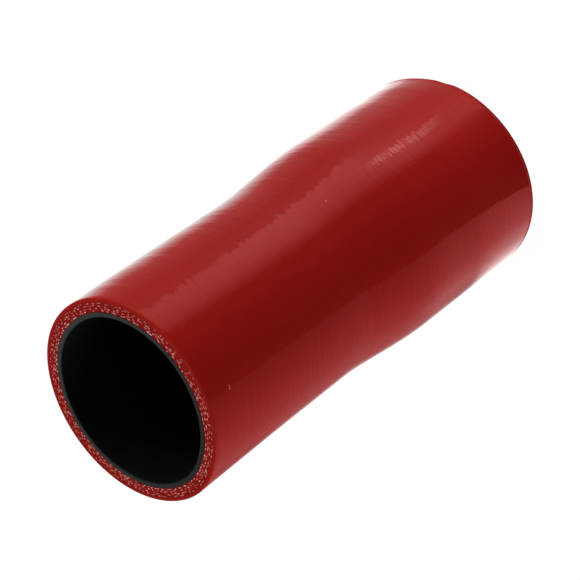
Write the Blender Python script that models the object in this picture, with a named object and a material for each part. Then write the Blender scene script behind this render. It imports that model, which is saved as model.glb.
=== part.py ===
# Silicone hose coupler: a straight reducer that joins two pipes of different diameter.
# Metres, +Z up. The origin is the centre of the wide end's cut face, and the bore runs up Z
# to the narrow end. The hose is cured as one piece on a stepped mandrel, in three bonded
# layers that its cut ends show: a dark liner, a wound fabric reinforcement and a red cover.

import math

import bmesh
import bpy

# Bore, which is the shape of the mandrel
WIDE_BORE_DIAMETER = 0.0500
NARROW_BORE_DIAMETER = 0.0450

# Lengths along the bore, from the wide end to the narrow end
WIDE_END_LENGTH = 0.0430
FLARE_LENGTH = 0.0350
NARROW_END_LENGTH = 0.0570

# Wall, measured square to the bore
LINER_THICKNESS = 0.00125
PLY_COUNT = 4
PLY_THICKNESS = 0.00067
COVER_THICKNESS = 0.0010
BOND_GAP = 0.000035

# Fineness of the turned shape
TURN_STEPS = 72
FLARE_STEPS = 10
SHARP_EDGE_ANGLE = math.radians(40.0)

WIDE_BORE_RADIUS = WIDE_BORE_DIAMETER / 2.0
NARROW_BORE_RADIUS = NARROW_BORE_DIAMETER / 2.0
FLARE_TOP = WIDE_END_LENGTH + FLARE_LENGTH
OVERALL_LENGTH = FLARE_TOP + NARROW_END_LENGTH


def clear_scene():
    for item in list(bpy.data.objects):
        bpy.data.objects.remove(item, do_unlink=True)


def make_material(name, color, roughness):
    material = bpy.data.materials.new(name)
    material.use_nodes = True
    shader = material.node_tree.nodes["Principled BSDF"]
    shader.inputs["Base Color"].default_value = (*color, 1.0)
    shader.inputs["Roughness"].default_value = roughness
    shader.inputs["Metallic"].default_value = 0.0
    material.diffuse_color = (*color, 1.0)
    return material


def flare_fraction(height):
    # How far through the flare a height lies, held at 0 and 1 on the straight ends.
    return min(max((height - WIDE_END_LENGTH) / FLARE_LENGTH, 0.0), 1.0)


def bore_radius(height):
    # The flare is an S curve that leaves both straight ends without a crease.
    t = flare_fraction(height)
    blend = t * t * (3.0 - 2.0 * t)
    return WIDE_BORE_RADIUS + (NARROW_BORE_RADIUS - WIDE_BORE_RADIUS) * blend


def bore_slope(height):
    t = flare_fraction(height)
    return (NARROW_BORE_RADIUS - WIDE_BORE_RADIUS) * 6.0 * t * (1.0 - t) / FLARE_LENGTH


def wall_point(height, depth):
    # The point that lies depth into the wall, square to the bore at this height.
    slope = bore_slope(height)
    run = math.hypot(1.0, slope)
    return (bore_radius(height) + depth / run, 0.0, height - depth * slope / run)


def ring_heights():
    # Both cut ends, and even steps through the flare between the straight ends.
    flare = [WIDE_END_LENGTH + FLARE_LENGTH * step / FLARE_STEPS for step in range(FLARE_STEPS + 1)]
    return [0.0, *flare, OVERALL_LENGTH]


def add_layer(name, depth, thickness, material, parent):
    # One layer of the wall: its closed section, turned once round the bore.
    heights = ring_heights()
    inner_line = [wall_point(height, depth) for height in heights]
    outer_line = [wall_point(height, depth + thickness) for height in heights]

    build = bmesh.new()
    section = [build.verts.new(point) for point in outer_line + inner_line[::-1]]
    edges = [build.edges.new((start, end)) for start, end in zip(section, section[1:] + section[:1])]
    bmesh.ops.spin(
        build,
        geom=section + edges,
        cent=(0.0, 0.0, 0.0),
        axis=(0.0, 0.0, 1.0),
        angle=math.tau,
        steps=TURN_STEPS,
        use_merge=True,
        use_duplicate=False,
    )
    bmesh.ops.recalc_face_normals(build, faces=build.faces[:])

    mesh = bpy.data.meshes.new(name)
    build.to_mesh(mesh)
    build.free()
    mesh.shade_smooth()
    mesh.set_sharp_from_angle(angle=SHARP_EDGE_ANGLE)
    mesh.materials.append(material)

    layer = bpy.data.objects.new(name, mesh)
    layer.parent = parent
    bpy.context.scene.collection.objects.link(layer)
    return depth + thickness


def build_coupler():
    coupler = bpy.data.objects.new("hose_coupler", None)
    bpy.context.scene.collection.objects.link(coupler)

    liner_rubber = make_material("liner_rubber", (0.045, 0.047, 0.048), 0.55)
    ply_rubber = make_material("ply_rubber", (0.215, 0.024, 0.019), 0.60)
    cover_silicone = make_material("cover_silicone", (0.300, 0.012, 0.008), 0.28)

    # The layers are bonded, so each starts one bond line outside the layer that it was laid on.
    reinforcement_thickness = PLY_COUNT * PLY_THICKNESS
    liner_depth = add_layer("inner_liner", 0.0, LINER_THICKNESS, liner_rubber, coupler)
    ply_depth = add_layer(
        "fabric_reinforcement", liner_depth + BOND_GAP, reinforcement_thickness, ply_rubber, coupler
    )
    add_layer("outer_cover", ply_depth + BOND_GAP, COVER_THICKNESS, cover_silicone, coupler)


clear_scene()
build_coupler()
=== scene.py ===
import math
import random

import bpy
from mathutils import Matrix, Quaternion, Vector


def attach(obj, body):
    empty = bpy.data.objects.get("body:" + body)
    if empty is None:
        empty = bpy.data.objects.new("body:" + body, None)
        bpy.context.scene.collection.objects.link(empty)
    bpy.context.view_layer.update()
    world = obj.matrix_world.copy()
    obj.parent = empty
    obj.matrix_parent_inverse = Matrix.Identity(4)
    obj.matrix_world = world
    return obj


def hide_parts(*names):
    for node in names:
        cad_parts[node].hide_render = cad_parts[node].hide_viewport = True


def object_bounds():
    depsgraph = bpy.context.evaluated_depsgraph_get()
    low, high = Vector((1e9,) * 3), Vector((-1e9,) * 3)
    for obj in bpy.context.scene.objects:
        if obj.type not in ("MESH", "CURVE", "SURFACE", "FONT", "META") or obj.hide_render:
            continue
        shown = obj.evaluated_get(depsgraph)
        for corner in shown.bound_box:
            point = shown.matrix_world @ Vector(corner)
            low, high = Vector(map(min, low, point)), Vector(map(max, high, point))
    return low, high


# Red silicone reducer coupler, standing on its wide end. Metres, +Z runs up the bore.
# Directions round the hose are given in degrees from the side that faces the camera,
# positive turning towards the key light.

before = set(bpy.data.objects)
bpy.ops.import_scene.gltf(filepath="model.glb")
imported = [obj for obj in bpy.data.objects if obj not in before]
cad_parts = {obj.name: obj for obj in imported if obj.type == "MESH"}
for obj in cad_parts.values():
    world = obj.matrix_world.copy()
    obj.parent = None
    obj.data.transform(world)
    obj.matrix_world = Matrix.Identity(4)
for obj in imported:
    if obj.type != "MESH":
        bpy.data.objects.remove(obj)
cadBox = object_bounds()
scene = bpy.context.scene
print("frame loaded")


# camera

cameraView = {
    "azimuth": 26.0,
    "elevation": 41.12,
    "distance": 0.4856,
    "roll": 126.1,
    "lens": 115.4,
    "sensor": 36.0,
    "nearest": 0.01,
    "aimHeight": 0.0728,
    "aimSideways": -0.0011,
}


def sideAngle(degrees):
    # row angle, in radians, of a direction given from the camera's side
    return math.radians(cameraView["azimuth"] - 90.0 + degrees)


def sidePoint(degrees, reach, height):
    turn = sideAngle(degrees)
    return Vector((reach * math.cos(turn), reach * math.sin(turn), height))


def buildCamera():
    aim = sidePoint(90.0, cameraView["aimSideways"], cameraView["aimHeight"])
    rise = math.radians(cameraView["elevation"])
    back = sidePoint(0.0, math.cos(rise), math.sin(rise))
    lensData = bpy.data.cameras.new("productCamera")
    lensData.lens = cameraView["lens"]
    lensData.sensor_width = cameraView["sensor"]
    lensData.clip_start = cameraView["nearest"]
    camera = bpy.data.objects.new("productCamera", lensData)
    camera.rotation_mode = "QUATERNION"
    camera.location = aim + back * cameraView["distance"]
    level = (-back).to_track_quat("-Z", "Y")
    roll = Quaternion((0.0, 0.0, 1.0), -math.radians(cameraView["roll"]))
    camera.rotation_quaternion = level @ roll
    scene.collection.objects.link(camera)
    scene.camera = camera


buildCamera()
print("camera placed")


# node helpers; a pair (node, output) stands for what that output gives

def newMaterial(name):
    material = bpy.data.materials.new(name)
    material.use_nodes = True
    material.node_tree.nodes.clear()
    return material, material.node_tree


def addNode(tree, kind, x, y, **settings):
    node = tree.nodes.new(kind)
    node.location = (x, y)
    for key, value in settings.items():
        setattr(node, key, value)
    return node


def setInputs(node, **values):
    for key, value in values.items():
        node.inputs[key].default_value = value
    return node


def isPair(value):
    return isinstance(value, tuple) and isinstance(value[0], bpy.types.Node)


def feed(tree, node, socket, value):
    # value: a pair to link from, or a constant
    if isPair(value):
        tree.links.new(value[0].outputs[value[1]], node.inputs[socket])
    else:
        node.inputs[socket].default_value = value


def addMath(tree, x, y, operation, *values, clamp=False):
    node = addNode(tree, "ShaderNodeMath", x, y, operation=operation, use_clamp=clamp)
    for socket, value in enumerate(values):
        feed(tree, node, socket, value)
    return node, "Value"


def addVectorMath(tree, x, y, operation, *values):
    node = addNode(tree, "ShaderNodeVectorMath", x, y, operation=operation)
    for socket, value in enumerate(values):
        feed(tree, node, socket, value)
    return node, "Vector"


def mixColors(tree, x, y, factor, first, second):
    # first and second: each a colour or a pair
    mix = addNode(tree, "ShaderNodeMix", x, y, data_type="RGBA")
    feed(tree, mix, 0, factor)
    for socket, color in ((6, first), (7, second)):
        feed(tree, mix, socket, color if isPair(color) else (*color, 1.0))
    return mix, 2


def remap(tree, x, y, source, fromSpan, toSpan):
    node = addNode(tree, "ShaderNodeMapRange", x, y)
    node.inputs["From Min"].default_value = fromSpan[0]
    node.inputs["From Max"].default_value = fromSpan[1]
    node.inputs["To Min"].default_value = toSpan[0]
    node.inputs["To Max"].default_value = toSpan[1]
    feed(tree, node, "Value", source)
    return node, "Result"


def newGroup(name, inputs, outputs):
    # inputs: name -> default value, outputs: name -> socket type
    group = bpy.data.node_groups.new(name, "ShaderNodeTree")
    for key, value in inputs.items():
        socket = group.interface.new_socket(key, in_out="INPUT", socket_type="NodeSocketFloat")
        socket.default_value = value
    for key, kind in outputs.items():
        group.interface.new_socket(key, in_out="OUTPUT", socket_type=kind)
    given = addNode(group, "NodeGroupInput", -900, 0)
    out = addNode(group, "NodeGroupOutput", 700, 0)
    return group, given, out


def useGroup(tree, group, x, y, **values):
    node = addNode(tree, "ShaderNodeGroup", x, y)
    node.node_tree = group
    return setInputs(node, **values)


def stretchedNoise(tree, x, y, cells, detail, roughness):
    # noise in the part's own metres; cells: per metre across the bore and along it
    across, along = cells
    place = addNode(tree, "ShaderNodeTexCoord", x - 400, y)
    stretch = addNode(tree, "ShaderNodeMapping", x - 200, y)
    stretch.inputs["Scale"].default_value = (across, across, along)
    noise = addNode(tree, "ShaderNodeTexNoise", x, y)
    setInputs(noise, Scale=1.0, Detail=detail, Roughness=roughness)
    feed(tree, stretch, "Vector", (place, "Object"))
    feed(tree, noise, "Vector", (stretch, "Vector"))
    return noise, "Fac"


def towardsSide(tree, x, y, degrees):
    # how far a point of the part lies towards one side of the hose, in metres
    place = addNode(tree, "ShaderNodeTexCoord", x - 200, y)
    reach = addNode(tree, "ShaderNodeVectorMath", x, y, operation="DOT_PRODUCT")
    feed(tree, reach, 0, (place, "Object"))
    feed(tree, reach, 1, sidePoint(degrees, 1.0, 0.0))
    return reach, "Value"


# shared effects

wrapShape = {
    "fineCells": (55.0, 1600.0),
    "broadCells": (40.0, 680.0),
    "detail": 1.0,
    "roughness": 0.5,
}


def buildWrapLines():
    # marks of the cloth tape that the hose is cured under: fine rings round the bore
    group, given, out = newGroup(
        "wrapLines",
        {"Fine": 1.0, "Broad": 1.0, "Tilt": 0.1},
        {"Height": "NodeSocketFloat", "Mask": "NodeSocketFloat", "Normal": "NodeSocketVector"},
    )
    detail, roughness = wrapShape["detail"], wrapShape["roughness"]
    fine = stretchedNoise(group, -300, 200, wrapShape["fineCells"], detail, roughness)
    broad = stretchedNoise(group, -300, -150, wrapShape["broadCells"], detail, roughness)
    fineShare = addMath(group, 0, 200, "MULTIPLY", fine, (given, "Fine"))
    broadShare = addMath(group, 0, -150, "MULTIPLY", broad, (given, "Broad"))
    feed(group, out, "Height", addMath(group, 250, 50, "ADD", fineShare, broadShare))
    feed(group, out, "Mask", fine)
    # each ring also leans a little to one side, which gives reflections their combed edges
    place = addNode(group, "ShaderNodeTexCoord", -500, -500)
    normal = (place, "Normal")
    around = addVectorMath(group, -250, -500, "CROSS_PRODUCT", (0.0, 0.0, 1.0), normal)
    summed = addMath(group, -400, -350, "ADD", fine, broad)
    centred = addMath(group, -250, -350, "SUBTRACT", summed, 1.0)
    lean = addMath(group, 0, -350, "MULTIPLY", centred, (given, "Tilt"))
    push = addNode(group, "ShaderNodeVectorMath", 200, -500, operation="SCALE")
    feed(group, push, 0, around)
    feed(group, push, "Scale", lean)
    leaned = addVectorMath(group, 380, -500, "ADD", normal, (push, "Vector"))
    feed(group, out, "Normal", addVectorMath(group, 540, -500, "NORMALIZE", leaned))
    return group


def buildKnifeGrain():
    # the torn grain that a blade leaves on cut rubber
    group, given, out = newGroup(
        "knifeGrain",
        {"Cells": 2800.0, "Contrast": 1.8},
        {"Height": "NodeSocketFloat", "Mask": "NodeSocketFloat"},
    )
    place = addNode(group, "ShaderNodeTexCoord", -700, 100)
    noise = setInputs(addNode(group, "ShaderNodeTexNoise", -400, 200), Detail=3.0, Roughness=0.6)
    feed(group, noise, "Vector", (place, "Object"))
    feed(group, noise, "Scale", (given, "Cells"))
    centred = addMath(group, -150, 200, "SUBTRACT", (noise, "Fac"), 0.5)
    stretched = addMath(group, 50, 200, "MULTIPLY", centred, (given, "Contrast"))
    feed(group, out, "Height", (noise, "Fac"))
    feed(group, out, "Mask", addMath(group, 250, 200, "ADD", stretched, 0.5, clamp=True))
    return group


wrapLines = buildWrapLines()
knifeGrain = buildKnifeGrain()


# finishes

siliconeIor = 1.41


def finishShader(tree, x, y, ior, level):
    shader = addNode(tree, "ShaderNodeBsdfPrincipled", x, y)
    shader.inputs["IOR"].default_value = ior
    shader.inputs["Specular IOR Level"].default_value = level
    output = addNode(tree, "ShaderNodeOutputMaterial", x + 300, y)
    feed(tree, output, "Surface", (shader, "BSDF"))
    return shader


def addBump(tree, x, y, height, strength, distance, shader, normal=None):
    bump = setInputs(addNode(tree, "ShaderNodeBump", x, y), Strength=strength, Distance=distance)
    if normal:
        feed(tree, bump, "Normal", normal)
    feed(tree, bump, "Height", height)
    feed(tree, shader, "Normal", (bump, "Normal"))


coverFinish = {
    # stronger and redder reflections than silicone's own, to match the photo
    "ior": 1.8,
    "specular": 0.5,
    "glossTint": (1.0, 0.29, 0.27),
    "deepRed": (0.238, 0.0055, 0.0039),
    "brightRed": (0.270, 0.0067, 0.0046),
    "mottleCells": (220.0, 260.0),
    "rings": {"Fine": 0.50, "Broad": 0.20},
    "seamSide": 60.0,
    "seamReach": (0.0205, 0.0245),
    "ringLean": (0.020, 0.13),
    "paleRingRed": (0.285, 0.0095, 0.0070),
    "paleRingSide": -62.0,
    "paleRingReach": (0.0215, 0.0255),
    "paleRingMask": (0.52, 0.72),
    "paleRingShare": 0.7,
    "edgeShadeRed": (0.080, 0.0030, 0.0020),
    "edgeFacing": (0.78, 0.94),
    "edgeShare": 0.80,
    "glossMask": (0.40, 0.60),
    "roughness": (0.028, 0.090),
    "bumpHeight": 0.00008,
}


def buildCoverSkin():
    look = coverFinish
    material, tree = newMaterial("coverSkin")
    shader = finishShader(tree, 500, 0, look["ior"], look["specular"])
    shader.inputs["Specular Tint"].default_value = (*look["glossTint"], 1.0)
    # the tape's rings lean more along one side, where its seam ran
    seam = towardsSide(tree, -800, -200, look["seamSide"])
    lines = useGroup(tree, wrapLines, -200, -200, **look["rings"])
    feed(tree, lines, "Tilt", remap(tree, -500, -200, seam, look["seamReach"], look["ringLean"]))
    mottle = stretchedNoise(tree, -400, 300, look["mottleCells"], 3.0, 0.7)
    tone = mixColors(tree, -100, 300, mottle, look["deepRed"], look["brightRed"])
    # along another side the rings that stand proud are paler
    proud = remap(tree, -300, 150, (lines, "Mask"), look["paleRingMask"], (0.0, look["paleRingShare"]))
    facing = towardsSide(tree, -800, 50, look["paleRingSide"])
    patch = remap(tree, -500, 50, facing, look["paleRingReach"], (0.0, 1.0))
    paleRings = addMath(tree, -100, 150, "MULTIPLY", proud, patch)
    lined = mixColors(tree, 50, 400, paleRings, tone, look["paleRingRed"])
    # seen edge-on, the base colour is painted darker: painted shade for the gloss that hides the
    # colour under it
    slant = addNode(tree, "ShaderNodeLayerWeight", -400, 550)
    hidden = remap(tree, -100, 550, (slant, "Facing"), look["edgeFacing"], (0.0, look["edgeShare"]))
    veiled = mixColors(tree, 200, 400, hidden, lined, look["edgeShadeRed"])
    feed(tree, shader, "Base Color", veiled)
    gloss = remap(tree, 100, 0, (lines, "Mask"), look["glossMask"], look["roughness"])
    feed(tree, shader, "Roughness", gloss)
    height, normal = (lines, "Height"), (lines, "Normal")
    addBump(tree, 250, -300, height, 1.0, look["bumpHeight"], shader, normal)
    return material


cutFinish = {
    "specular": 0.04,
    "grain": {"Cells": 2800.0, "Contrast": 1.8},
    "roughSpread": 0.08,
    "bumpStrength": 0.8,
    "shadedSide": -70.0,
    "shadedReach": (-0.022, 0.022),
}

# sawn and eased faces: dark and bright colour, roughness, bump height, and the share of painted
# shade by which the side that faces the fill light is darker
cutFaces = {
    "coverCut": ((0.250, 0.0074, 0.0045), (0.295, 0.0088, 0.0052), 0.5, 0.00003, 0.12),
    # the next two are the wide rim's strips: a painted highlight, then painted shade
    "rimHighlight": ((0.380, 0.0140, 0.0094), (0.480, 0.0205, 0.0135), 0.5, 0.00002, 0.0),
    "rimShade": ((0.200, 0.0062, 0.0048), (0.250, 0.0080, 0.0062), 0.6, 0.00002, 0.0),
    "linerCut": ((0.008, 0.009, 0.009), (0.060, 0.062, 0.061), 0.6, 0.00004, 0.5),
    "linerEdge": ((0.009, 0.010, 0.010), (0.020, 0.022, 0.021), 0.6, 0.00003, 0.5),
}


def buildCutFace(name, dark, bright, roughness, bumpHeight, shade):
    material, tree = newMaterial(name)
    shader = finishShader(tree, 500, 0, siliconeIor, cutFinish["specular"])
    grain = useGroup(tree, knifeGrain, -200, 0, **cutFinish["grain"])
    mask = (grain, "Mask")
    tone = mixColors(tree, 100, 200, mask, dark, bright)
    # painted shade: the face is darkened towards one side, beyond what the lamps give
    across = towardsSide(tree, -400, 400, cutFinish["shadedSide"])
    dimmed = remap(tree, -200, 400, across, cutFinish["shadedReach"], (0.0, shade))
    feed(tree, shader, "Base Color", mixColors(tree, 300, 250, dimmed, tone, (0.0, 0.0, 0.0)))
    span = (roughness - cutFinish["roughSpread"], roughness + cutFinish["roughSpread"])
    feed(tree, shader, "Roughness", remap(tree, 100, -50, mask, (0.0, 1.0), span))
    addBump(tree, 250, -300, (grain, "Height"), cutFinish["bumpStrength"], bumpHeight, shader)
    return material


plyFinish = {
    "cordRed": (0.170, 0.0055, 0.0042),
    "gumRed": (0.265, 0.0085, 0.0062),
    "grain": {"Cells": 3600.0, "Contrast": 1.8},
    "wobble": 0.35,
    "gumEdge": (0.12, 0.38),
    "roughness": (0.55, 0.80),
    "bumpStrength": 0.9,
    "bumpHeight": 0.00008,
}


def buildPlyCut():
    # the plies show as rings: dark cord in the middle of each turn, clear gum between turns
    look = plyFinish
    material, tree = newMaterial("plyCut")
    shader = finishShader(tree, 700, 0, siliconeIor, cutFinish["specular"])
    grain = useGroup(tree, knifeGrain, -600, -100, **look["grain"])
    mask = (grain, "Mask")
    depth = addNode(tree, "ShaderNodeAttribute", -900, 300, attribute_name="plyDepth")
    wobbled = addMath(tree, -600, 300, "MULTIPLY_ADD", mask, look["wobble"], (depth, "Fac"))
    turn = addMath(tree, -400, 300, "FRACT", wobbled)
    fromEdge = addMath(tree, -200, 300, "PINGPONG", turn, 0.5)
    cord = remap(tree, 0, 300, fromEdge, look["gumEdge"], (0.0, 1.0))
    tone = mixColors(tree, 250, 300, cord, look["gumRed"], look["cordRed"])
    feed(tree, shader, "Base Color", tone)
    feed(tree, shader, "Roughness", remap(tree, 250, -50, mask, (0.0, 1.0), look["roughness"]))
    height = (grain, "Height")
    addBump(tree, 450, -300, height, look["bumpStrength"], look["bumpHeight"], shader)
    return material


yarnFinish = {
    "ior": 1.5,
    "specular": 0.1,
    "coatedRed": (0.33, 0.030, 0.024),
    "barePale": (0.74, 0.34, 0.30),
    "grain": {"Cells": 9000.0, "Contrast": 2.0},
    "grainShare": 0.3,
    "roughness": (0.50, 0.75),
}


def buildYarnLook():
    # cord ends, from coated in red gum to bare
    look = yarnFinish
    material, tree = newMaterial("yarnEnd")
    shader = finishShader(tree, 500, 0, look["ior"], look["specular"])
    grain = useGroup(tree, knifeGrain, -200, 0, **look["grain"])
    mask = (grain, "Mask")
    bare = addNode(tree, "ShaderNodeAttribute", -200, 300, attribute_name="bareness")
    values = (mask, look["grainShare"], (bare, "Fac"))
    share = addMath(tree, 0, 300, "MULTIPLY_ADD", *values, clamp=True)
    tone = mixColors(tree, 150, 200, share, look["coatedRed"], look["barePale"])
    feed(tree, shader, "Base Color", tone)
    feed(tree, shader, "Roughness", remap(tree, 100, -50, mask, (0.0, 1.0), look["roughness"]))
    return material


boreFinish = {
    "specular": 0.02,
    "rings": {"Fine": 0.6, "Broad": 0.5, "Tilt": 0.0},
    # painted shade: the bore's black is far darker than the liner's cut, for the shade deep inside
    # the bore
    "darkTone": (0.0018, 0.0026, 0.0022),
    "paleTone": (0.0030, 0.0040, 0.0035),
    "roughMask": (0.2, 0.8),
    "roughness": (0.42, 0.58),
    "bumpStrength": 0.6,
    "bumpHeight": 0.00003,
}


def buildBoreWall():
    look = boreFinish
    material, tree = newMaterial("boreWall")
    shader = finishShader(tree, 500, 0, siliconeIor, look["specular"])
    lines = useGroup(tree, wrapLines, -200, -200, **look["rings"])
    mask = (lines, "Mask")
    tone = mixColors(tree, 100, 200, mask, look["darkTone"], look["paleTone"])
    feed(tree, shader, "Base Color", tone)
    rough = remap(tree, 100, -50, mask, look["roughMask"], look["roughness"])
    feed(tree, shader, "Roughness", rough)
    height = (lines, "Height")
    addBump(tree, 250, -300, height, look["bumpStrength"], look["bumpHeight"], shader)
    return material


finishes = {name: buildCutFace(name, *look) for name, look in cutFaces.items()}
for material in (buildCoverSkin(), buildPlyCut(), buildYarnLook(), buildBoreWall()):
    finishes[material.name] = material
print("finishes ready")


# hose shape; its length and bores are read from the frame

def cadRing(node, height):
    # inner and outer radius of a layer's own ring of corners at one height
    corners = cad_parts[node].data.vertices
    sameHeight = 0.00001
    reach = [math.hypot(c.co.x, c.co.y) for c in corners if abs(c.co.z - height) < sameHeight]
    return min(reach), max(reach)


overallLength = cadBox[1][2]
wideBore = cadRing("inner_liner", 0.0)[0]
narrowBore = cadRing("inner_liner", overallLength)[0]

hoseShape = {
    "flareStart": 0.043,
    "flareEnd": 0.078,
    "turnSteps": 288,
    "ringSpacing": 0.0012,
    "sharpAngle": 50.0,
    # out of round at each end: share of the radius, and the side that bulges
    "ovals": {"wide": (0.017, 109.0), "narrow": (0.018, 35.0)},
    "ovalFade": 0.060,
    "inset": 0.000001,
}

# the wide rim is pressed flat along one stretch, with a nick where that stretch begins; behind
# the narrow rim the wall swells a little on one side and draws in on the other
wallSpots = {
    "wide": [
        {"side": 43.5, "spread": 3.5, "rise": -0.00026, "reach": 0.004},
        {"side": 58.0, "spread": 17.0, "rise": -0.00052, "reach": 0.009},
    ],
    "narrow": [
        {"side": -86.0, "spread": 20.0, "rise": 0.00027, "reach": 0.034},
        {"side": 88.0, "spread": 25.0, "rise": -0.00024, "reach": 0.014},
        {"side": 180.0, "spread": 60.0, "rise": 0.00014, "reach": 0.012},
    ],
}


def ease(t):
    # an S curve from 0 to 1, level at both ends
    return t * t * (3.0 - 2.0 * t)


def fade(distance, reach):
    # 1 at the cut end, easing to 0 at reach
    return ease(min(max(1.0 - distance / reach, 0.0), 1.0))


def nearSpot(side, spot):
    # 1 on the spot's own side of the hose, falling off both ways round
    away = (side - spot["side"] + 180.0) % 360.0 - 180.0
    return math.exp(-((away / spot["spread"]) ** 2))


def wallPoint(height, depth):
    # radius and height of a point that lies depth into the wall, square to the bore
    span = hoseShape["flareEnd"] - hoseShape["flareStart"]
    t = min(max((height - hoseShape["flareStart"]) / span, 0.0), 1.0)
    radius = wideBore + (narrowBore - wideBore) * ease(t)
    slope = (narrowBore - wideBore) * 6.0 * t * (1.0 - t) / span
    run = math.hypot(1.0, slope)
    return radius + depth / run, height - depth * slope / run


def softPoint(side, radius, height):
    # the soft hose is a little out of round at its cut ends, with a few flats and swellings
    bulge = 0.0
    for end, away in (("wide", height), ("narrow", overallLength - height)):
        share, bulgingSide = hoseShape["ovals"][end]
        oval = share * fade(away, hoseShape["ovalFade"])
        turn = math.radians(2.0 * (side - bulgingSide))
        # twice the square keeps the oval inside the round it came from, measured along X and Y
        bulge += radius * oval * (math.cos(turn) - 2.0 * oval)
        for spot in wallSpots[end]:
            bulge += spot["rise"] * nearSpot(side, spot) * fade(away, spot["reach"])
    # and a hair inside the frame's own round
    return sidePoint(side, radius + bulge - hoseShape["inset"], height)


def evenSteps(start, end, count):
    return [start + (end - start) * step / count for step in range(count + 1)]


def easedCorner(steps):
    # a quarter round of radius 1, from one face of a corner to the other
    turns = [math.pi / 2.0 * step / steps for step in range(1, steps + 1)]
    return [(1.0 - math.cos(turn), math.sin(turn)) for turn in turns]


# a layer's section with nothing added: square corners, flush with the hose's ends
plainSection = {
    "faceSteps": 4,
    "narrowEase": 0.0,
    "wideEase": 0.0,
    "boreEase": 0.0,
    "cornerSteps": 3,
    "narrowCornerSteps": 5,
    "rimStrips": (),
    "recess": 0.0,
}


def layerSection(node, changes):
    # (depth, height) pairs round a layer's closed section, from the wide rim up the outer wall,
    # and the kind of surface that each stretch of it is
    shape = {**plainSection, **changes}
    inner, outer = (radius - wideBore for radius in cadRing(node, 0.0))
    base = shape["recess"]
    top = overallLength - base
    rings = round(overallLength / hoseShape["ringSpacing"])
    narrowEase, wideEase, boreEase = shape["narrowEase"], shape["wideEase"], shape["boreEase"]
    path = []
    surfaces = []
    low = base + wideEase
    # round the wide rim, a strip of painted shade and then a strip of painted highlight
    for strip, surface in zip(shape["rimStrips"], ("shadedStrip", "highlightStrip")):
        path.append((outer, low))
        surfaces.append(surface)
        low += strip
    path += [(outer, height) for height in evenSteps(low, top - narrowEase, rings)]
    surfaces += ["outerWall"] * rings
    if narrowEase > 0.0:
        for away, along in easedCorner(shape["narrowCornerSteps"]):
            path.append((outer - narrowEase * away, top - narrowEase * (1.0 - along)))
            surfaces.append("cutFace")
    narrowFace = evenSteps(outer - narrowEase, inner + boreEase, shape["faceSteps"])
    path += [(depth, top) for depth in narrowFace[1:]]
    surfaces += ["cutFace"] * shape["faceSteps"]
    if boreEase > 0.0:
        for away, along in easedCorner(shape["cornerSteps"]):
            path.append((inner + boreEase * (1.0 - along), top - boreEase * away))
            surfaces.append("boreCorner")
    boreWall = evenSteps(top - boreEase, base + boreEase, rings)
    path += [(inner, height) for height in boreWall[1:]]
    surfaces += ["innerWall"] * rings
    if boreEase > 0.0:
        for away, along in easedCorner(shape["cornerSteps"]):
            path.append((inner + boreEase * away, base + boreEase * (1.0 - along)))
            surfaces.append("boreCorner")
    wideFace = evenSteps(inner + boreEase, outer - wideEase, shape["faceSteps"])
    path += [(depth, base) for depth in wideFace[1:]]
    surfaces += ["cutFace"] * shape["faceSteps"]
    if wideEase > 0.0:
        # the eased wide corner is painted shade as well
        for away, along in easedCorner(shape["cornerSteps"]):
            path.append((outer - wideEase * (1.0 - along), base + wideEase * away))
            surfaces.append("shadedStrip")
    # the last point is the first one again
    return path[:-1], surfaces


def turnLayer(name, path, surfaces, looks):
    # turns a section once round the bore; looks: the finish of each kind of surface
    steps = hoseShape["turnSteps"]
    section = [wallPoint(height, depth) for depth, height in path]
    count = len(section)
    points = []
    faces = []
    for turn in range(steps):
        side = 360.0 * turn / steps
        points.extend(softPoint(side, radius, height) for radius, height in section)
        here = turn * count
        following = (turn + 1) % steps * count
        for index in range(count):
            after = (index + 1) % count
            faces.append((here + index, following + index, following + after, here + after))
    mesh = bpy.data.meshes.new(name)
    mesh.from_pydata([tuple(point) for point in points], [], faces)
    used = list(dict.fromkeys(looks.values()))
    for look in used:
        mesh.materials.append(finishes[look])
    kinds = [used.index(looks[surface]) for surface in surfaces]
    mesh.polygons.foreach_set("material_index", kinds * steps)
    mesh.shade_smooth()
    mesh.set_sharp_from_angle(angle=math.radians(hoseShape["sharpAngle"]))
    layer = bpy.data.objects.new(name, mesh)
    scene.collection.objects.link(layer)
    return layer


def dress(piece, node):
    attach(piece, "root")
    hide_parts(node)


# outer cover, with a strip of painted shade and a strip of painted highlight round the wide rim

coverShape = {
    "faceSteps": 3,
    "narrowEase": 0.00040,
    "wideEase": 0.00016,
    "rimStrips": (0.00046, 0.00046),
}


def buildCover():
    path, surfaces = layerSection("outer_cover", coverShape)
    looks = {
        "outerWall": "coverSkin",
        "cutFace": "coverCut",
        "innerWall": "coverCut",
        # the rim strips are a painted highlight and painted shade
        "highlightStrip": "rimHighlight",
        "shadedStrip": "rimShade",
    }
    cover = turnLayer("coverSleeve", path, surfaces, looks)
    dress(cover, "outer_cover")


buildCover()
print("outer cover built")


# fabric reinforcement

plyShape = {"faceSteps": 12, "recess": 0.00008}
plyCount = 4


def buildPlies():
    path, surfaces = layerSection("fabric_reinforcement", plyShape)
    plies = turnLayer("plySleeve", path, surfaces, dict.fromkeys(surfaces, "plyCut"))
    # how many turns of fabric lie under each point
    depths = [depth for depth, height in path]
    thickness = (max(depths) - min(depths)) / plyCount
    turns = [(depth - min(depths)) / thickness for depth in depths]
    layerDepth = plies.data.attributes.new("plyDepth", "FLOAT", "POINT")
    layerDepth.data.foreach_set("value", turns * hoseShape["turnSteps"])
    dress(plies, "fabric_reinforcement")


buildPlies()
print("plies built")


# slivers, which make the yarn ends and the specks

sliverShape = {
    "sides": 6,
    # along the sliver: share of its length, share of its width
    "stations": [(-0.5, 0.35), (-0.25, 0.9), (0.0, 1.0), (0.25, 0.9), (0.5, 0.35)],
}


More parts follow.
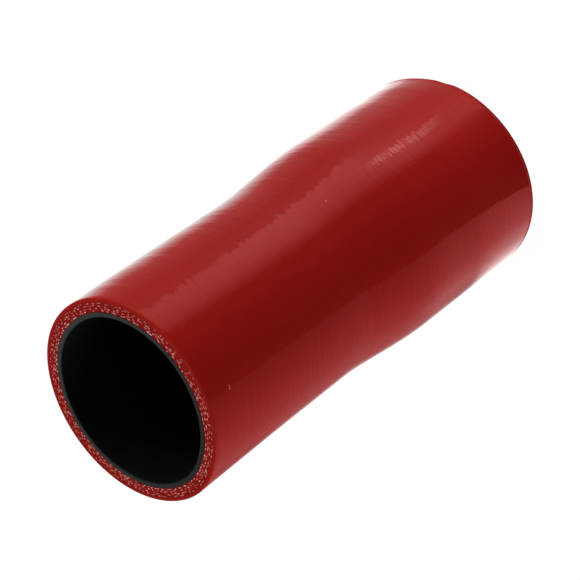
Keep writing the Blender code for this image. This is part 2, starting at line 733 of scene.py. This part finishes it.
def addSliver(points, faces, centre, axes, size, bend):
    # axes: along, across and up; size: length, width and rise
    along, across, up = axes
    length, width, rise = size
    sides = sliverShape["sides"]
    stations = sliverShape["stations"]
    first = len(points)
    for share, girth in stations:
        # no bow at either end
        bow = bend * length * (0.25 - share * share)
        middle = centre + along * (share * length) + across * bow
        for corner in range(sides):
            turn = math.tau * corner / sides
            offset = across * (math.cos(turn) * width * girth)
            points.append(middle + offset + up * (math.sin(turn) * rise * girth))
    for station in range(len(stations) - 1):
        for corner in range(sides):
            low = first + station * sides
            high = low + sides
            after = (corner + 1) % sides
            faces.append((low + corner, low + after, high + after, high + corner))
    last = first + (len(stations) - 1) * sides
    faces.append(tuple(first + corner for corner in reversed(range(sides))))
    faces.append(tuple(last + corner for corner in range(sides)))


def buildSlivers(name, slivers):
    # slivers: (centre, axes, size, bend, bareness) of each
    points = []
    faces = []
    bareness = []
    for centre, axes, size, bend, bare in slivers:
        addSliver(points, faces, centre, axes, size, bend)
        bareness += [bare] * (len(points) - len(bareness))
    mesh = bpy.data.meshes.new(name)
    mesh.from_pydata([tuple(point) for point in points], [], faces)
    mesh.materials.append(finishes["yarnEnd"])
    mesh.attributes.new("bareness", "FLOAT", "POINT").data.foreach_set("value", bareness)
    mesh.shade_smooth()
    piece = bpy.data.objects.new(name, mesh)
    scene.collection.objects.link(piece)
    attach(piece, "root")
    return piece


# yarn ends on the cut faces

yarnShape = {
    "pitch": 0.00134,
    "thick": 0.00015,
    "girthSpan": (0.7, 1.3),
    "shortest": 0.00045,
    "longest": 0.00100,
    "missing": 0.12,
    "shift": 0.42,
    "drift": 0.09,
    "turn": 0.18,
    "bend": 0.6,
    "flatness": 0.25,
    "sunk": 0.00007,
    # range of bareness in each turn of the fabric, from the liner outwards
    "bareness": [(0.20, 1.0), (0.0, 0.75), (0.0, 0.65), (0.0, 0.45)],
    "seed": 7,
}

# longer ends that the blade pulled out: side, ply, length, turn away from the ring, bend
pulledEnds = [
    (128.0, 0.9, 0.0019, 65.0, 1.3),
    (134.5, 1.3, 0.0017, 40.0, -1.2),
    (150.0, 2.2, 0.0013, -35.0, 0.6),
    (-142.0, 0.8, 0.0014, 50.0, 0.8),
    (-70.0, 2.6, 0.0012, 20.0, -0.7),
    (17.0, 1.1, 0.0012, -30.0, 0.9),
]
pulledGirth = 0.8
pulledBareness = 0.75


def yarnEnd(side, radius, height, inward, length, girth, turn, bend, bare):
    centre = softPoint(side, radius, height)
    centre.z += inward * yarnShape["sunk"]
    tilt = sideAngle(side) + math.pi / 2.0 + turn
    along = Vector((math.cos(tilt), math.sin(tilt), 0.0))
    across = Vector((-math.sin(tilt), math.cos(tilt), 0.0))
    axes = (along, across, Vector((0.0, 0.0, 1.0)))
    return centre, axes, (length, girth, girth * yarnShape["flatness"]), bend, bare


def buildYarnEnds(name, height, inward, pulled):
    # four rows of cord ends, one in each turn of the fabric
    shape = yarnShape
    chance = random.Random(shape["seed"])
    inner, outer = cadRing("fabric_reinforcement", height)
    thickness = (outer - inner) / plyCount
    slivers = []
    for ply in range(plyCount):
        radius = inner + (ply + 0.5) * thickness
        count = round(math.tau * radius / shape["pitch"])
        for index in range(count):
            if chance.random() < shape["missing"]:
                continue
            side = 360.0 * (index + chance.uniform(-shape["shift"], shape["shift"])) / count
            place = radius + chance.gauss(0.0, shape["drift"]) * thickness
            length = chance.uniform(shape["shortest"], shape["longest"])
            girth = shape["thick"] * chance.uniform(*shape["girthSpan"])
            turn = chance.gauss(0.0, shape["turn"])
            bend = chance.uniform(-shape["bend"], shape["bend"])
            bare = chance.uniform(*shape["bareness"][ply])
            slivers.append(yarnEnd(side, place, height, inward, length, girth, turn, bend, bare))
    for side, ply, length, turn, bend in pulled:
        place = inner + ply * thickness
        girth = shape["thick"] * pulledGirth
        turn = math.radians(turn)
        bare = pulledBareness
        slivers.append(yarnEnd(side, place, height, inward, length, girth, turn, bend, bare))
    ends = buildSlivers(name, slivers)


buildYarnEnds("narrowYarnEnds", overallLength, -1.0, pulledEnds)
buildYarnEnds("wideYarnEnds", 0.0, 1.0, [])
print("yarn ends built")


# specks that stick to the skin

speckShape = {"rise": 0.00004, "sunk": 0.00003, "bend": 0.2}

# height, side, length, width, turn away from the ring, bareness
specks = [
    (0.0672, 24.7, 0.00042, 0.00017, 0.0, 1.0),
    (0.1270, -23.0, 0.00210, 0.00026, -25.0, 0.05),
    (0.0974, -46.6, 0.00030, 0.00012, 10.0, 0.45),
    (0.0210, -31.6, 0.00070, 0.00012, -60.0, 0.30),
    (0.1332, 58.1, 0.00034, 0.00012, 0.0, 0.60),
]


def buildSpecks():
    wall = cadRing("outer_cover", 0.0)[1] - wideBore
    up = Vector((0.0, 0.0, 1.0))
    slivers = []
    for height, side, length, width, turn, bare in specks:
        radius, level = wallPoint(height, wall)
        centre = softPoint(side, radius - speckShape["sunk"], level)
        out = sidePoint(side, 1.0, 0.0)
        ring = sidePoint(side + 90.0, 1.0, 0.0)
        tilt = math.radians(turn)
        along = ring * math.cos(tilt) + up * math.sin(tilt)
        axes = (along, out.cross(along), out)
        size = (length, width, speckShape["rise"])
        slivers.append((centre, axes, size, speckShape["bend"], bare))
    dust = buildSlivers("skinSpecks", slivers)


buildSpecks()
print("specks built")


# liner

linerShape = {"faceSteps": 4, "boreEase": 0.00020}


def buildLiner():
    path, surfaces = layerSection("inner_liner", linerShape)
    looks = {
        "outerWall": "boreWall",
        "cutFace": "linerCut",
        "innerWall": "boreWall",
        "boreCorner": "linerEdge",
    }
    liner = turnLayer("linerSleeve", path, surfaces, looks)
    dress(liner, "inner_liner")


buildLiner()
print("liner built")


# floor, world and lamps

studio = {
    "floorSize": 6.0,
    "floorDrop": 0.0001,
    "floorTone": 0.75,
    "floorShadow": 0.12,
    "floorWhite": 1.08,
    "worldTone": 0.08,
}


def sortRays(tree, x, y):
    # 1 for rays that start at the camera, and 1 for rays from a gloss or through glass
    rays = addNode(tree, "ShaderNodeLightPath", x, y)
    glossy, through = (rays, "Is Glossy Ray"), (rays, "Is Transmission Ray")
    return (rays, "Is Camera Ray"), addMath(tree, x + 200, y - 100, "MAXIMUM", glossy, through)


def buildFloor():
    mesh = bpy.data.meshes.new("floor")
    half = studio["floorSize"] / 2.0
    corners = [(-half, -half, 0.0), (half, -half, 0.0), (half, half, 0.0), (-half, half, 0.0)]
    mesh.from_pydata(corners, [], [(0, 1, 2, 3)])
    floor = bpy.data.objects.new("floor", mesh)
    floor.location.z = -studio["floorDrop"]
    scene.collection.objects.link(floor)
    # white to the camera and in the gloss, apart from a soft share of the real shadow
    material, tree = newMaterial("floorWhite")
    matt = addNode(tree, "ShaderNodeBsdfDiffuse", 0, 0)
    matt.inputs["Color"].default_value = (studio["floorTone"],) * 3 + (1.0,)
    straight, mirrored = sortRays(tree, -600, 300)
    white = addNode(tree, "ShaderNodeEmission", 0, -200)
    brightness = remap(tree, -200, -200, straight, (0.0, 1.0), (1.0, studio["floorWhite"]))
    feed(tree, white, "Strength", brightness)
    seen = addMath(tree, -200, 300, "MULTIPLY", straight, 1.0 - studio["floorShadow"])
    mix = addNode(tree, "ShaderNodeMixShader", 250, 0)
    feed(tree, mix, 0, addMath(tree, 0, 250, "MAXIMUM", seen, mirrored))
    feed(tree, mix, 1, (matt, "BSDF"))
    feed(tree, mix, 2, (white, "Emission"))
    output = addNode(tree, "ShaderNodeOutputMaterial", 500, 0)
    feed(tree, output, "Surface", (mix, "Shader"))
    mesh.materials.append(material)


def buildWorld():
    # white where it is seen or mirrored, dim where it only lights
    world = bpy.data.worlds.new("studioWorld")
    scene.world = world
    world.use_nodes = True
    tree = world.node_tree
    tree.nodes.clear()
    straight, mirrored = sortRays(tree, -600, 300)
    seen = addMath(tree, -200, 250, "MAXIMUM", straight, mirrored)
    sky = addNode(tree, "ShaderNodeBackground", 250, 0)
    sky.inputs["Color"].default_value = (1.0, 1.0, 1.0, 1.0)
    strength = remap(tree, 0, 200, seen, (0.0, 1.0), (studio["worldTone"], 1.0))
    feed(tree, sky, "Strength", strength)
    output = addNode(tree, "ShaderNodeOutputWorld", 450, 0)
    feed(tree, output, "Surface", (sky, "Background"))


lamps = {
    # side of the hose, elevation, distance, width and power
    "keyLight": (68.0, 14.0, 0.9, 0.45, 7.7),
    "fillLight": (-101.0, 14.0, 0.9, 0.45, 8.4),
    "frontLight": (-12.0, 30.0, 0.9, 0.60, 0.80),
    "topLight": (150.0, 72.0, 1.0, 0.50, 4.1),
}


def buildLamps():
    for name, (side, rise, distance, width, power) in lamps.items():
        data = bpy.data.lights.new(name, "AREA")
        data.size = width
        data.energy = power
        lamp = bpy.data.objects.new(name, data)
        tilt = math.radians(rise)
        away = sidePoint(side, math.cos(tilt), math.sin(tilt))
        lamp.location = away * distance + Vector((0.0, 0.0, overallLength / 2.0))
        lamp.rotation_mode = "QUATERNION"
        lamp.rotation_quaternion = away.to_track_quat("Z", "Y")
        scene.collection.objects.link(lamp)


# What the glossy skin mirrors: pale and dark cards that fan out over the floor from the wide
# end. Each border gives the side where it starts, the direction it runs in, how far it bows
# half way out, how bright the cards are along it (close to the hose, nearer, further and far
# out), and the red light that the hose throws onto them close by and further away. The levels
# started from brightness measured in the photo and were then changed.
cardFan = {
    "start": 0.0290,
    "lift": -0.00005,
    # along each border: reach, which of the four levels, share of the further red, share of the bow
    "stations": [
        (0.0, 0, 0.0, 0.0),
        (0.018, 0, 0.0, 0.0),
        (0.028, 1, 0.40, 0.2),
        (0.048, 1, 0.6, 0.8),
        (0.080, 2, 1.0, 0.9),
        (0.112, 2, 1.0, 0.0),
        (0.150, 3, 1.0, 0.0),
        (0.800, 3, 1.0, 0.0),
    ],
    "borders": [
        (-180.0, -180.0, 0.0, (1.55, 1.38, 1.02, 0.64), (0.00, 0.14)),
        (-80.0, -166.0, 0.0, (1.40, 0.82, 0.64, 0.36), (0.05, 0.28)),
        (-76.5, -158.5, 0.0, (1.38, 0.48, 0.31, 0.17), (0.10, 0.30)),
        (-73.0, -151.0, 0.0, (1.32, 0.28, 0.19, 0.14), (0.16, 0.26)),
        (-66.0, -138.0, 0.0, (1.10, 0.31, 0.21, 0.20), (0.24, 0.22)),
        (-60.0, -125.0, 0.0, (0.72, 0.42, 0.23, 0.21), (0.32, 0.18)),
        (-48.0, -100.0, 0.0, (0.38, 0.29, 0.21, 0.20), (0.40, 0.11)),
        (-33.7, -52.6, 0.0, (0.25, 0.20, 0.15, 0.14), (0.42, 0.10)),
        (-33.7, -52.6, 0.0, (0.05, 0.05, 0.05, 0.05), (0.12, 0.10)),
        (-12.0, -25.0, 0.0, (0.05, 0.05, 0.05, 0.05), (0.32, 0.16)),
        (0.0, 0.0, 0.0, (0.05, 0.05, 0.05, 0.05), (0.40, 0.12)),
        (12.0, 25.0, 0.0, (0.12, 0.06, 0.06, 0.06), (0.48, 0.08)),
        (18.0, 38.0, 0.0, (0.44, 0.55, 0.50, 0.50), (0.72, 0.24)),
        (21.5, 45.5, 0.0, (0.45, 0.70, 0.70, 0.64), (0.72, 0.24)),
        (26.2, 55.4, 0.0, (0.44, 0.68, 0.76, 0.70), (0.72, 0.24)),
        (28.0, 59.0, 2.0, (0.36, 0.46, 0.76, 0.70), (0.72, 0.22)),
        (32.0, 67.0, 6.0, (0.30, 0.34, 0.76, 0.66), (0.66, 0.20)),
        (32.6, 68.2, 6.0, (0.29, 0.31, 0.33, 0.30), (0.55, 0.10)),
        (42.0, 88.0, 0.0, (0.22, 0.19, 0.18, 0.17), (0.44, 0.07)),
        (61.0, 127.0, 0.0, (0.52, 0.40, 0.24, 0.24), (0.26, 0.25)),
        (66.0, 137.0, 0.0, (1.36, 1.12, 0.60, 0.56), (0.14, 0.20)),
        (73.0, 152.0, 0.0, (1.86, 1.60, 1.12, 1.08), (0.00, 0.02)),
        (180.0, 180.0, 0.0, (1.65, 1.36, 1.20, 1.17), (0.00, 0.00)),
    ],
}

# a ladder of short bright cards, which the rings of the skin break into strokes
cardLadder = {
    "side": 24.4,
    "direction": 51.7,
    "width": 0.0042,
    "widening": 0.080,
    "lift": -0.00002,
    "red": 0.3,
    # reach, length and brightness of each rung
    "rungs": [
        (0.0170, 0.0025, 1.2),
        (0.0215, 0.0028, 1.8),
        (0.0270, 0.0032, 2.3),
        (0.0335, 0.0036, 2.5),
        (0.0410, 0.0038, 2.3),
        (0.0490, 0.0040, 1.9),
        (0.0575, 0.0042, 1.4),
    ],
}


def buildCardGlow():
    material, tree = newMaterial("cardGlow")
    level = addNode(tree, "ShaderNodeAttribute", -300, 0, attribute_name="glow")
    light = addNode(tree, "ShaderNodeEmission", 0, 0)
    feed(tree, light, "Color", (level, "Color"))
    output = addNode(tree, "ShaderNodeOutputMaterial", 250, 0)
    feed(tree, output, "Surface", (light, "Emission"))
    material.cycles.emission_sampling = "NONE"
    return material


def cardColor(level, red):
    return [level + red, level, level, 1.0]


def addCards(name, points, glow, faces, material):
    # cards that only the gloss sees; glow: the colour at each point, one number after another
    mesh = bpy.data.meshes.new(name)
    mesh.from_pydata([tuple(point) for point in points], [], faces)
    mesh.attributes.new("glow", "FLOAT_COLOR", "POINT").data.foreach_set("color", glow)
    mesh.materials.append(material)
    cards = bpy.data.objects.new(name, mesh)
    scene.collection.objects.link(cards)
    cards.visible_camera = False
    cards.visible_diffuse = False
    cards.visible_transmission = False
    cards.visible_shadow = False


def buildCards(material):
    count = len(cardFan["stations"])
    points = []
    glow = []
    for side, direction, bow, levels, reds in cardFan["borders"]:
        root = sidePoint(side, cardFan["start"], cardFan["lift"])
        for reach, index, further, bent in cardFan["stations"]:
            points.append(root + sidePoint(direction + bow * bent, reach, 0.0))
            glow += cardColor(levels[index], reds[0] + (reds[1] - reds[0]) * further)
    faces = []
    for border in range(len(cardFan["borders"]) - 1):
        for step in range(count - 1):
            low = border * count + step
            faces.append((low, low + 1, low + count + 1, low + count))
    addCards("cardFan", points, glow, faces, material)


def buildLadder(material):
    root = sidePoint(cardLadder["side"], cardFan["start"], cardLadder["lift"])
    out = sidePoint(cardLadder["direction"], 1.0, 0.0)
    aside = sidePoint(cardLadder["direction"] + 90.0, 1.0, 0.0)
    points = []
    glow = []
    faces = []
    for reach, length, level in cardLadder["rungs"]:
        width = cardLadder["width"] + cardLadder["widening"] * reach
        first = len(points)
        for along, half in ((0.0, -0.5), (0.0, 0.5), (length, 0.5), (length, -0.5)):
            points.append(root + out * (reach + along) + aside * (width * half))
            glow += cardColor(level, cardLadder["red"])
        faces.append((first, first + 1, first + 2, first + 3))
    addCards("cardLadder", points, glow, faces, material)


buildFloor()
buildWorld()
buildLamps()
cardGlow = buildCardGlow()
buildCards(cardGlow)
buildLadder(cardGlow)
scene.view_settings.view_transform = "Standard"
print("studio ready")
